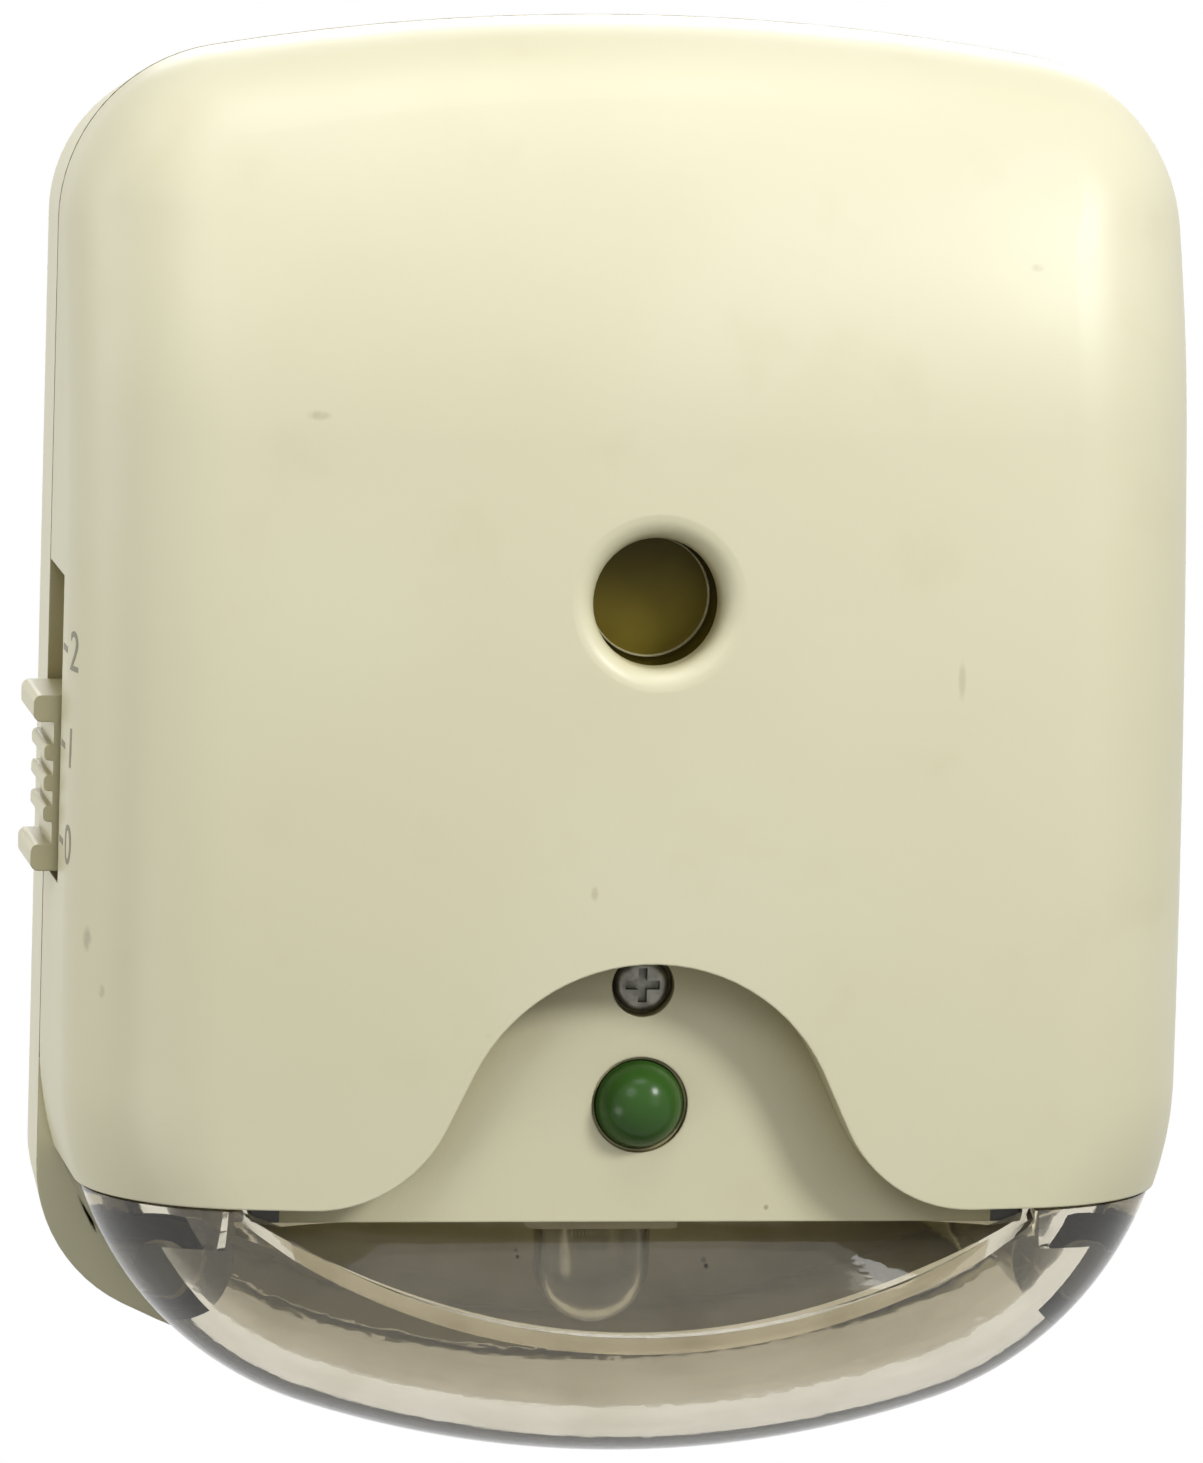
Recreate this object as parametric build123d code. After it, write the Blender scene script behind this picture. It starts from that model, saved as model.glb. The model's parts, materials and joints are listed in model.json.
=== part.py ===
from build123d import *
import os
from math import asin, atan2, cos, degrees, pi, radians, sin, sqrt

# Plug-in power failure light.
# X runs to the right as seen from the front, Z up, and the front faces -Y.
# The wall plate is the plane Y = 0, and the origin lies midway between the two plug blades.

# Walls and clearances
WALL = 2.2                 # covers
REAR_WALL = 2.2            # back of the rear cover
BAY_WALL = 1.2             # battery bay
FIT = 0.2                  # between fixed pieces that nest
RUN = 0.4                  # between sliding pieces
BAY_CLEAR = 0.3            # around the battery
SIDE_ROOM = 1.55           # between battery bay and cover
SEAM = 0.3                 # shadow gap where the covers meet
CUT = 2.0                  # reach of a cut beyond the surface

# Nine volt battery and its snap connector
BATTERY_BODY = 46.4
BATTERY_WIDTH = 26.5
BATTERY_THICK = 17.5
BATTERY_CORNER = 2.2
TERMINAL_HEIGHT = 2.1
TERMINAL_PITCH = 12.7
POSITIVE_DIA = 5.7
NEGATIVE_DIA = 7.8
SNAP_LENGTH = 25.0
SNAP_WIDTH = 12.4
SNAP_PLATE = 1.8
LEAD_ROOM = 2.2
BATTERY_LEAD_DIA = 1.5

# Battery door
DOOR_SET = 0.3             # below the back face
DOOR_THICK = 1.8
DOOR_EDGE = 0.3            # gap round the door
DOOR_SWING_ROOM = 1.4
HINGE_UP = 1.4             # pin axis above the bottom of the opening
HINGE_TAIL = 0.8           # door below the pin axis
HINGE_PIN_DIA = 1.4
HINGE_PIN_LENGTH = 0.9
HINGE_FIT = 0.1
FINGER_DENT_WIDTH = 14.0
FINGER_DENT_DEPTH = 0.8
FINGER_DENT_RADIUS = 6.0

# Stack from the battery bay forward
BOARD_STANDOFF = 3.5
BOARD_THICK = 1.6
PANEL_ROOM = 5.4
PANEL_THICK = 2.0
RECESS_DEPTH = 3.5
REAR_DEPTH = 18.0          # wall plane to parting plane
REAR_TAPER = 1.6           # the rear cover draws in towards the wall
REAR_DROP = 1.6            # and slopes down at its top
REAR_EDGE = 1.2
REAR_SKIN = 0.8            # left behind blind bores
LIP_HEIGHT = 2.0           # locating lip inside the front cover
LIP_WALL = 1.0
LIP_ROOT = 2.0

# Heights
PLUG_TO_TOP = 21.4
PLUG_TO_BAY = 12.5
LAMP_ROOM = 17.5

# Front outline and crowned front face
TOP_ARC = 135.0
TOP_CORNER = 10.0
BOTTOM_ARC = 60.0
BOTTOM_CORNER = 19.5
REAR_CORNER = 9.0          # the rear cover is squarer at the bottom
FRONT_CROWN = 250.0
SIDE_CROWN = 160.0         # and across the front
CROWN_ABOVE_BOTTOM = 20.3
TOP_ROLL = 40.0            # the upper front rolls back
ROLL_BELOW_TOP = 21.4
ROLL_SPAN = 75.0           # end of the roll, in degrees
FRONT_EDGE = 9.0

# Arch recess in the lower front, with the indicator panel at its back
LENS_HEIGHT = 15.3         # lower edge of the front cover above the bottom
ARCH_HEIGHT = 14.0
ARCH_TOP = 10.8
ARCH_FOOT = 8.0
ARCH_FLARE = 25.0
RECESS_WALL = 1.6
PANEL_DROP = 1.1           # panel below the cover's lower edge
PANEL_END = 0.6            # panel short of the lens recess
LED_UP = 5.5               # centre above the cover's lower edge
SCREW_UP = 12.2

# Lens
LENS_INSET = 0.2
LENS_WALL = 2.4
RIM_DROP = 7.1             # middle of the rim below the cover's lower edge
RIM_HALF = 22.2
RIM_WALL = 1.3
RIM_STEP = 1.0
WINDOW_THICK = 1.8
WINDOW_TUCK = 1.2          # window ends behind the panel
WINDOW_RISE = 2.0          # and above its lower edge
TONGUE_WALL = 1.5
TONGUE_HEIGHT = 3.0
TONGUE_GAP = 0.8           # tongue short of the battery bay
PEG_X = 25.0
PEG_DROP = 3.9
PEG_DIA = 3.0
PEG_REACH = 12.0
PEG_SOCKET_WALL = 1.4
PEG_FOOT_DIA = 6.4

# Sounder behind the round hole
SOUND_ABOVE_BOTTOM = 49.0
SOUND_HOLE_DIA = 7.1
SOUND_LIP = 1.3
SOUND_DEPTH = 2.1          # hollow between cover and disc
RING_DIA = 22.0
RING_WALL = 2.0
DISC_DIA = 20.0
DISC_THICK = 0.3
CERAMIC_DIA = 14.0
CERAMIC_THICK = 0.25
SOUND_LEAD_DIA = 0.9
SOUND_LEAD_X = 8.4

# Slide switch on the left side
SWITCH_DROP = 12.0         # knob centre below the sound hole, at rest
SWITCH_TRAVEL = 6.2
KNOB_LENGTH = 9.9
SLOT_WIDTH = 6.8
SLOT_SPARE = 0.6
KNOB_LIP = 1.5             # end lips stand out from the cover
KNOB_LIP_WIDTH = 1.5
KNOB_FLOOR = 0.35          # grip floor stands out too
KNOB_RIDGE = 0.5           # ridges above that floor
KNOB_RIDGE_WIDTH = 0.9
KNOB_RIDGES = 3
SHIELD_THICK = 0.8
SHIELD_OVERLAP = 1.0
SHIELD_WIDTH = 9.2
FORK_GAP = 1.0             # fork short of the board's edge
FORK_WALL = 1.25
FORK_EASE = 0.8
FORK_ROOT = 2.0
LEVER_SIZE = 2.0
LEVER_FIT = 0.15
LEVER_HEIGHT = 1.0         # lever centre in front of the board
SWITCH_WIDTH = 6.0
SWITCH_HEIGHT = 4.8
SWITCH_LENGTH = 20.8
SWITCH_SKIN = 0.5
SWITCH_BASE_THICK = 0.6
SLIDER_LENGTH = 8.0
TERMINAL_PIN_DIA = 0.8
TERMINAL_PIN_LENGTH = 2.6
TERMINAL_PIN_PITCH = 5.0

# Circuit board and its posts
BOARD_ROOM = 7.5           # board edge inside the body's side
BOARD_TOP = 11.0
BOARD_UP = 0.4             # board above the bay's underside
BOARD_CORNER = 4.0
POST_IN = 3.5              # posts inside the board's edge
POST_TOP = 7.5
POST_LOW = 3.4             # lower posts above the bay's bottom wall
POST_DIA = 6.0
SCREW_SHANK = 2.0
SCREW_FIT = 0.1
SCREW_BITE = 6.0
BOARD_HEAD_DIA = 4.0
BOARD_HEAD = 1.5
CROSS_WIDTH = 0.5
CROSS_DEPTH = 0.6
FRONT_HEAD_DIA = 3.1
FRONT_HEAD = 1.1
FRONT_SINK = 0.2
FRONT_POST_DIA = 5.0

# Indicator
LED_DIA = 5.0
LED_HOLE_DIA = 5.4
LED_FLANGE_DIA = 5.8
LED_FLANGE = 1.0
LED_PROUD = 1.9            # dome in front of the panel
LED_BASE_GAP = 0.7         # flange off the board
LED_LEAD_PITCH = 2.54
LED_LEAD_SIZE = 0.5

# Lamp
LAMP_X = -1.2
LAMP_DIA = 6.6
LAMP_GLASS = 0.5
LAMP_TIP_UP = 6.8          # tip above the body's bottom
LAMP_BASE = 1.6
LAMP_WIRE_DIA = 0.5
LAMP_WIRE_PITCH = 2.2
LAMP_WIRE_BACK = 1.6       # wires behind the lamp's axis
LAMP_WIRE_FIT = 0.1
LAMP_WIRE_BEND = 0.5
LAMP_PAD_UP = 1.2          # wires enter the board this far above its edge
FILAMENT_DIA = 0.3
FILAMENT_DROP = 4.6
HOLDER_HEIGHT = 4.6
HOLDER_WALL = 0.8
HOLDER_ROOF = 0.9
HOLDER_BACK = 4.5          # holder under the bay

# Plug blades and their retainer
BLADE_PITCH = 12.7
BLADE_THICK = 1.5
BLADE_LINE = 6.35
BLADE_NEUTRAL = 7.9
BLADE_LENGTH = 16.5
BLADE_HOLE_DIA = 3.2
BLADE_HOLE_AT = 11.9
BLADE_NOSE = 0.5
SHOULDER_EXTRA = 2.2
SHOULDER_THICK = 2.3
SHOULDER_PLAY = 0.1
TAIL_HEIGHT = 5.0
TAIL_REACH = 2.4           # tail in front of the retainer
RETAINER_HALF = 17.5
RETAINER_HEIGHT = 13.0
RETAINER_THICK = 2.5
RETAINER_POST_X = 14.0
RETAINER_CORNER = 2.0
MAINS_LEAD_DIA = 1.6

# Board parts
FILM_CAP = (14.0, 4.0, 6.0)
FILM_CAP_X = -7.0
FILM_CAP_Z = 1.0
FILM_CAP_CORNER = 1.0
ELECTROLYTIC_DIA = 5.0
ELECTROLYTIC_HEIGHT = 4.6
ELECTROLYTIC_IN = 7.5      # beside the diodes
ELECTROLYTIC_Z = 0.5
CHIP = (19.0, 3.4, 6.4)
CHIP_Z = -17.0
CHIP_LEGS = 7
CHIP_LEG_PITCH = 2.54
CHIP_LEG_WIDTH = 0.5
CHIP_STAND = 0.5
RESISTOR_DIA = 2.3
RESISTOR_LENGTH = 6.3
RESISTOR_IN = 7.0          # inside the board's edge
RESISTOR_TOP = -17.5
RESISTOR_PITCH = 3.5
RESISTOR_COUNT = 3
DIODE_DIA = 2.7
DIODE_LENGTH = 5.0
DIODE_IN = 5.5             # inside the board's edge
DIODE_TOP = -1.5
DIODE_PITCH = 4.0
DIODE_COUNT = 4
AXIAL_SPAN = 4.0           # lead beyond the body, both ends together
AXIAL_LEAD_DIA = 0.6
AXIAL_BEND = 0.7
AXIAL_LIFT = 0.3
TRANSISTOR_DIA = 4.8
TRANSISTOR_FLAT = 1.4
TRANSISTOR_HEIGHT = 4.8
TRANSISTOR_LEG = 1.5
TRANSISTOR_GAP = 1.1       # beside the switch
TRANSISTOR_Z = -12.5

# Places along Y, from the wall forward
door_back = -DOOR_SET
door_front = door_back - DOOR_THICK
battery_back = door_front - DOOR_SWING_ROOM
battery_front = battery_back - BATTERY_THICK
bay_floor = battery_front - BAY_CLEAR
bay_front = bay_floor - BAY_WALL
board_back = bay_front - BOARD_STANDOFF
board_front = board_back - BOARD_THICK
panel_back = board_front - PANEL_ROOM
panel_front = panel_back - PANEL_THICK
front_y = panel_front - RECESS_DEPTH
parting_y = -REAR_DEPTH

# Places along X and Z
bay_half = (BATTERY_BODY + TERMINAL_HEIGHT + SNAP_PLATE + LEAD_ROOM) / 2 + BAY_CLEAR
half_width = bay_half + BAY_WALL + SIDE_ROOM + WALL
bay_top = -PLUG_TO_BAY
bay_bottom = bay_top - max(BATTERY_WIDTH, SNAP_LENGTH) - 2 * BAY_CLEAR
bay_under = bay_bottom - BAY_WALL
body_top = PLUG_TO_TOP
body_bottom = bay_under - LAMP_ROOM
edge_z = body_bottom + LENS_HEIGHT
sound_z = body_bottom + SOUND_ABOVE_BOTTOM
crown_z = body_bottom + CROWN_ABOVE_BOTTOM
roll_z = body_top - ROLL_BELOW_TOP
led_z = edge_z + LED_UP
screw_z = edge_z + SCREW_UP
panel_z = edge_z - PANEL_DROP
panel_half = RIM_HALF - PANEL_END
rim_z = edge_z - RIM_DROP
peg_z = edge_z - PEG_DROP
knob_z = sound_z - SWITCH_DROP
slot_bottom = knob_z - KNOB_LENGTH / 2 - SLOT_SPARE
slot_top = knob_z + KNOB_LENGTH / 2 + SWITCH_TRAVEL + SLOT_SPARE
post_low_z = bay_bottom + POST_LOW
board_half = half_width - BOARD_ROOM
post_x = board_half - POST_IN
board_bottom = bay_under + BOARD_UP


def block(x0, x1, y0, y1, z0, z1):
    size = Box(abs(x1 - x0), abs(y1 - y0), abs(z1 - z0))
    return Pos((x0 + x1) / 2, (y0 + y1) / 2, (z0 + z1) / 2) * size


def rod_y(x, z, y0, y1, dia):
    return Pos(x, (y0 + y1) / 2, z) * Rot(90, 0, 0) * Cylinder(dia / 2, abs(y1 - y0))


def rod_x(x0, x1, y, z, dia):
    return Pos((x0 + x1) / 2, y, z) * Rot(0, 90, 0) * Cylinder(dia / 2, abs(x1 - x0))


def rod_z(x, y, z0, z1, dia):
    return Pos(x, y, (z0 + z1) / 2) * Cylinder(dia / 2, abs(z1 - z0))


def slab(face, y_back, y_front):
    return extrude(Plane.XZ.offset(-y_back) * face, y_back - y_front)


def ring_point(centre, radius, angle):
    return (centre[0] + radius * cos(angle), centre[1] + radius * sin(angle))


def mirrored(point):
    return (-point[0], point[1])


def outline(inset, low_radius=BOTTOM_CORNER):
    # Body outline seen from the front: crowned top, straight sides and a deep round bottom
    arcs = []
    side = half_width - inset
    top_centre = (0, body_top - TOP_ARC)
    top_rise = sqrt((TOP_ARC - TOP_CORNER) ** 2 - (half_width - TOP_CORNER) ** 2)
    top_corner = (half_width - TOP_CORNER, top_centre[1] + top_rise)
    low_centre = (0, body_bottom + BOTTOM_ARC)
    low_fall = sqrt((BOTTOM_ARC - low_radius) ** 2 - (half_width - low_radius) ** 2)
    low_corner = (half_width - low_radius, low_centre[1] - low_fall)
    top_angle = atan2(top_rise, top_corner[0])
    low_angle = atan2(-low_fall, low_corner[0])
    top_end = ring_point(top_centre, TOP_ARC - inset, top_angle)
    top_bend = ring_point(top_corner, TOP_CORNER - inset, top_angle / 2)
    low_end = ring_point(low_centre, BOTTOM_ARC - inset, low_angle)
    low_bend = ring_point(low_corner, low_radius - inset, low_angle / 2)
    side_top = (side, top_corner[1])
    side_low = (side, low_corner[1])
    arcs.append(ThreePointArc(mirrored(top_end), (0, body_top - inset), top_end))
    arcs.append(ThreePointArc(top_end, top_bend, side_top))
    arcs.append(Line(side_top, side_low))
    arcs.append(ThreePointArc(side_low, low_bend, low_end))
    arcs.append(ThreePointArc(low_end, (0, body_bottom + inset), mirrored(low_end)))
    arcs.append(ThreePointArc(mirrored(low_end), mirrored(low_bend), mirrored(side_low)))
    arcs.append(Line(mirrored(side_low), mirrored(side_top)))
    arcs.append(ThreePointArc(mirrored(side_top), mirrored(top_bend), mirrored(top_end)))
    return make_face(arcs)


def pillow(inset, y_back):
    # Rounded front form, drawn in evenly by inset
    prism = slab(outline(inset), y_back, front_y - CUT)
    axis = Axis((0, front_y + SIDE_CROWN, 0), (0, 0, 1))
    sweep = 2 * degrees(asin((half_width + CUT) / (SIDE_CROWN - RECESS_DEPTH - REAR_DEPTH)))
    crown = revolve(Plane.YZ * side_profile(inset), axis, sweep)
    form = prism & crown.rotate(axis, -sweep / 2)
    fronts = []
    for face in form.faces():
        normal = face.normal_at()
        if abs(normal.X) < 0.01 and normal.Y < -0.3:
            fronts += face.edges()
    rims = [e for e in fronts if sum(e.is_same(other) for other in fronts) == 1]
    return fillet(rims, FRONT_EDGE - inset)


def side_profile(inset):
    # Front seen from the side: a shallow crown that rolls back towards the top
    lean = asin((roll_z - crown_z) / FRONT_CROWN)
    crown_centre = (front_y + FRONT_CROWN, crown_z)
    roll_centre = ring_point(crown_centre, FRONT_CROWN - TOP_ROLL, pi - lean)
    crown_radius = FRONT_CROWN - inset
    roll_radius = TOP_ROLL - inset
    low = ring_point(crown_centre, crown_radius, pi + lean)
    middle = ring_point(crown_centre, crown_radius, pi)
    bend = ring_point(crown_centre, crown_radius, pi - lean)
    roll = ring_point(roll_centre, roll_radius, pi - (lean + radians(ROLL_SPAN)) / 2)
    end = ring_point(roll_centre, roll_radius, pi - radians(ROLL_SPAN))
    edges = [
        ThreePointArc(low, middle, bend),
        ThreePointArc(bend, roll, end),
        Line(end, (0, end[1])),
        Line((0, end[1]), (0, low[1])),
        Line((0, low[1]), low),
    ]
    return make_face(edges)


def crown_y(z):
    # The front surface at a height
    return front_y + FRONT_CROWN - sqrt(FRONT_CROWN ** 2 - (z - crown_z) ** 2)


def arch(grow, low_z):
    # Arch with flared feet, grown outward, with its mouth at low_z
    flare = radians(ARCH_FLARE)
    reach = ARCH_TOP + ARCH_FOOT
    top = (0, edge_z + ARCH_HEIGHT - ARCH_TOP)
    foot_rise = edge_z + ARCH_FOOT - top[1]
    slope = (reach * sin(flare) - foot_rise) / cos(flare)
    foot = (reach * cos(flare) + slope * sin(flare), edge_z + ARCH_FOOT)
    shoulder = ring_point(top, ARCH_TOP + grow, flare)
    ankle = ring_point(foot, grow - ARCH_FOOT, flare)
    toe = (foot[0], foot[1] + grow - ARCH_FOOT)
    bend = ring_point(foot, grow - ARCH_FOOT, (flare + radians(90)) / 2)
    low = (toe[0], low_z)
    arcs = [
        ThreePointArc(mirrored(shoulder), (0, top[1] + ARCH_TOP + grow), shoulder),
        Line(shoulder, ankle),
        ThreePointArc(ankle, bend, toe),
        Line(toe, low),
        Line(low, mirrored(low)),
        Line(mirrored(low), mirrored(toe)),
        ThreePointArc(mirrored(toe), mirrored(bend), mirrored(ankle)),
        Line(mirrored(ankle), mirrored(shoulder)),
    ]
    return make_face(arcs)


def cross_recess(x, z, y_face, width):
    # Cross slot cut in a screw head that faces -Y
    bars = block(x - width / 2, x + width / 2, y_face - CUT, y_face + CROSS_DEPTH,
                 z - CROSS_WIDTH / 2, z + CROSS_WIDTH / 2)
    return bars + block(x - CROSS_WIDTH / 2, x + CROSS_WIDTH / 2, y_face - CUT, y_face + CROSS_DEPTH,
                        z - width / 2, z + width / 2)


def pan_screw(x, z, y_seat, head_dia, head, bite):
    # Pan head screw driven in along +Y, its head in front of y_seat
    cap = rod_y(x, z, y_seat, y_seat - head, head_dia)
    cap = fillet(cap.edges().sort_by(Axis.Y)[0], head * 0.5)
    cap -= cross_recess(x, z, y_seat - head, head_dia * 0.62)
    return cap + rod_y(x, z, y_seat - 0.1, y_seat + bite, SCREW_SHANK)


# Front cover with the arch recess, sound hole and switch slot

def make_front_cover():
    cover = pillow(0, parting_y) - pillow(WALL, parting_y + CUT)
    cover -= slab(outline(-CUT) - outline(SEAM), parting_y, parting_y - SEAM)
    below = block(-half_width - CUT, half_width + CUT, 1, front_y - CUT, edge_z, body_bottom - CUT)
    cover -= below
    recess = slab(arch(RECESS_WALL, edge_z), panel_back, front_y - CUT) & pillow(0, parting_y)
    cover += recess
    cover -= slab(arch(0, edge_z - CUT), panel_front, front_y - CUT)
    cover += block(-panel_half, panel_half, panel_back, panel_front, panel_z, edge_z + RECESS_WALL)
    cover -= rod_y(0, led_z, panel_back + CUT, panel_front - CUT, LED_HOLE_DIA)
    cover -= rod_y(0, screw_z, panel_back + CUT, panel_front - CUT, SCREW_SHANK + 2 * FIT)
    head_seat = panel_front + FRONT_HEAD + FRONT_SINK
    cover -= rod_y(0, screw_z, head_seat, panel_front - CUT, FRONT_HEAD_DIA + 2 * FIT)
    ring = rod_y(0, sound_z, disc_seat, crown_y(sound_z), RING_DIA)
    ring -= rod_y(0, sound_z, disc_seat + CUT, crown_y(sound_z) - CUT, RING_DIA - 2 * RING_WALL)
    cover += ring & pillow(WALL / 2, parting_y)
    hole = rod_y(0, sound_z, disc_seat + CUT, front_y - CUT, SOUND_HOLE_DIA)
    cover -= hole
    rim = [e for e in cover.edges() if is_sound_rim(e)]
    cover = fillet(rim, SOUND_LIP)
    slot = block(-half_width - CUT, -half_width + WALL + CUT, parting_y + CUT, parting_y - SLOT_WIDTH,
                 slot_bottom, slot_top)
    return cover - slot


def is_sound_rim(edge):
    centre = edge.bounding_box()
    on_axis = abs(centre.center().X) < 0.01 and abs(centre.center().Z - sound_z) < 0.2
    wide = abs(centre.size.X - SOUND_HOLE_DIA) < 0.01
    outer = centre.max.Y < crown_y(sound_z) + WALL / 2
    return on_axis and wide and outer


disc_seat = crown_y(sound_z) + WALL + SOUND_DEPTH
front_cover = make_front_cover()


# Rear cover with battery bay, posts, pegs and blade slots

def taper_form(inset, y_back, y_front):
    # Rear form between two planes, following the taper towards the wall
    def at(y):
        share = 1 + y / REAR_DEPTH
        section = outline(inset + REAR_TAPER * share, REAR_CORNER)
        return Plane.XZ.offset(-y) * Pos(0, -REAR_DROP * share) * section
    return loft([at(y_back), at(y_front)], ruled=True)


hinge_z = bay_bottom + HINGE_UP
hinge_y = (door_back + door_front) / 2
pin_reach = bay_half - DOOR_EDGE + HINGE_PIN_LENGTH
retainer_back = -REAR_WALL - SHOULDER_THICK - SHOULDER_PLAY
retainer_front = retainer_back - RETAINER_THICK
peg_front = parting_y - PEG_REACH
shield_low = slot_bottom - SWITCH_TRAVEL - SHIELD_OVERLAP
shield_high = slot_top + SHIELD_OVERLAP


def make_rear_cover():
    shell = taper_form(0, 0, parting_y)
    shell = fillet(shell.faces().sort_by(Axis.Y)[-1].edges(), REAR_EDGE)
    shell -= taper_form(WALL, -REAR_WALL, parting_y - CUT)
    bay = block(-bay_half - BAY_WALL, bay_half + BAY_WALL, -REAR_WALL / 2, bay_front,
                bay_top + BAY_WALL, bay_under)
    shell += bay
    lip_in = WALL + FIT + LIP_WALL
    lip = slab(outline(WALL + FIT) - outline(lip_in), parting_y + LIP_ROOT, parting_y - LIP_HEIGHT)
    lip += slab(outline(WALL / 2) - outline(lip_in), parting_y + LIP_ROOT, parting_y)
    lip -= block(-half_width, half_width, 0, bay_front, body_bottom, edge_z + TONGUE_HEIGHT + 2 * RUN)
    lip -= block(-half_width, 0, 0, bay_front, shield_low - RUN, shield_high + SWITCH_TRAVEL + RUN)
    shell += lip
    for side in (-1, 1):
        shell += rod_y(side * post_x, POST_TOP, -REAR_WALL / 2, board_back, POST_DIA)
        shell += rod_y(side * post_x, post_low_z, bay_floor - BAY_WALL / 2, board_back, POST_DIA)
        shell += rod_y(side * RETAINER_POST_X, 0, -REAR_WALL / 2, retainer_back, POST_DIA)
        foot = rod_y(side * PEG_X, peg_z, -REAR_WALL / 2, parting_y, PEG_FOOT_DIA)
        shell += foot & taper_form(WALL / 2, 0, parting_y)
        shell += rod_y(side * PEG_X, peg_z, parting_y + CUT, peg_front, PEG_DIA)
    shell += rod_y(0, screw_z, bay_floor - BAY_WALL / 2, panel_back, FRONT_POST_DIA)
    shell -= block(-bay_half, bay_half, 1, bay_floor, bay_top, bay_bottom)
    for side in (-1, 1):
        bore = SCREW_SHANK + SCREW_FIT
        shell -= rod_y(side * post_x, POST_TOP, board_back + SCREW_BITE, board_back - CUT, bore)
        low_bore = bay_front + BAY_WALL / 2
        shell -= rod_y(side * post_x, post_low_z, low_bore, board_back - CUT, bore)
        shell -= rod_y(side * RETAINER_POST_X, 0, -REAR_SKIN, retainer_back - CUT, bore)
        pin_bore = HINGE_PIN_DIA + 2 * HINGE_FIT
        shell -= rod_x(side * (bay_half - CUT), side * (pin_reach + HINGE_FIT), hinge_y, hinge_z, pin_bore)
        blade_x = side * BLADE_PITCH / 2
        half = BLADE_THICK / 2 + FIT
        height = blade_height(side) / 2 + FIT
        shell -= block(blade_x - half, blade_x + half, 1, -REAR_WALL - CUT, -height, height)
    shell -= rod_y(0, screw_z, bay_front - 0.5, panel_back - CUT, SCREW_SHANK + SCREW_FIT)
    for lead_z in snap_leads:
        shell -= rod_y(snap_x, lead_z, bay_floor + CUT, bay_front - CUT, BATTERY_LEAD_DIA + 2 * RUN)
    return shell


def blade_height(side):
    return BLADE_NEUTRAL if side < 0 else BLADE_LINE


# The battery lies on its side with its terminals to the right
battery_left = -bay_half + BAY_CLEAR
battery_right = battery_left + BATTERY_BODY
battery_z = (bay_top + bay_bottom) / 2
battery_y = (battery_back + battery_front) / 2
snap_back = battery_right + TERMINAL_HEIGHT
snap_x = snap_back + SNAP_PLATE / 2
snap_leads = (battery_z + SNAP_LENGTH / 4, battery_z - SNAP_LENGTH / 4)
rear_cover = make_rear_cover()


# Clear lens with a sunk window between its rim and the panel

def rim_section(y, middle_z, end_z):
    # Section of the recess over the lens: flat or smiling floor, open upwards
    roof = edge_z + RIM_STEP + WINDOW_THICK
    left = (-RIM_HALF, end_z)
    right = (RIM_HALF, end_z)
    if middle_z == end_z:
        floor = Line(left, right)
    else:
        floor = ThreePointArc(left, (0, middle_z), right)
    walls = [floor, Line(right, (RIM_HALF, roof)), Line((RIM_HALF, roof), (-RIM_HALF, roof)),
             Line((-RIM_HALF, roof), left)]
    return Plane.XZ.offset(-y) * make_face(walls)


def make_lens():
    outer = pillow(LENS_INSET, parting_y)
    shell = outer - pillow(LENS_INSET + LENS_WALL, parting_y + CUT)
    above = block(-half_width - CUT, half_width + CUT, 1, front_y - CUT, edge_z - FIT, body_top + CUT)
    shell -= above
    rim_back = front_y + LENS_INSET + RIM_WALL
    window_back = panel_back + WINDOW_TUCK
    window_z = panel_z + WINDOW_RISE
    notch = extrude(rim_section(front_y - CUT, rim_z, edge_z), rim_back - front_y + CUT, dir=(0, 1, 0))
    dish = loft([rim_section(rim_back, rim_z - RIM_STEP, edge_z - RIM_STEP),
                 rim_section(window_back, window_z, window_z)], ruled=True)
    sunk = WINDOW_THICK + RIM_STEP
    under = loft([rim_section(rim_back, rim_z - sunk, edge_z - sunk),
                  rim_section(window_back, window_z - WINDOW_THICK, window_z - WINDOW_THICK)], ruled=True)
    window = (under - dish) & outer
    window -= block(-half_width, half_width, panel_back + FIT, front_y - CUT, panel_z - FIT, body_top)
    shell = shell - notch - dish
    shell += window - above
    shell -= block(-panel_half - FIT, panel_half + FIT, panel_back + FIT, panel_front - FIT,
                   panel_z - FIT, edge_z)
    for side in (-1, 1):
        tongue = pillow(WALL + RUN, parting_y) - pillow(WALL + RUN + TONGUE_WALL, parting_y + CUT)
        keep_low = edge_z - FIT - LENS_WALL
        keep = block(side * (RIM_HALF + RUN), side * (half_width + CUT), bay_front - TONGUE_GAP, front_y,
                     keep_low, edge_z + TONGUE_HEIGHT)
        shell += tongue & keep
        socket = PEG_DIA + 2 * FIT
        boss = rod_y(side * PEG_X, peg_z, parting_y, peg_front - PEG_SOCKET_WALL,
                     socket + 2 * PEG_SOCKET_WALL)
        shell += boss & outer
        shell -= rod_y(side * PEG_X, peg_z, parting_y + CUT, peg_front - FIT, socket)
    return shell


lens = make_lens()


# Slide switch: thumb knob, slider inside the switch, and the fixed switch body on the board

shield_out = -half_width + WALL + RUN
shield_in = shield_out + SHIELD_THICK
lever_y = board_front - LEVER_HEIGHT - LEVER_SIZE / 2
switch_right = -board_half + SWITCH_WIDTH
slider_z = knob_z


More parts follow.
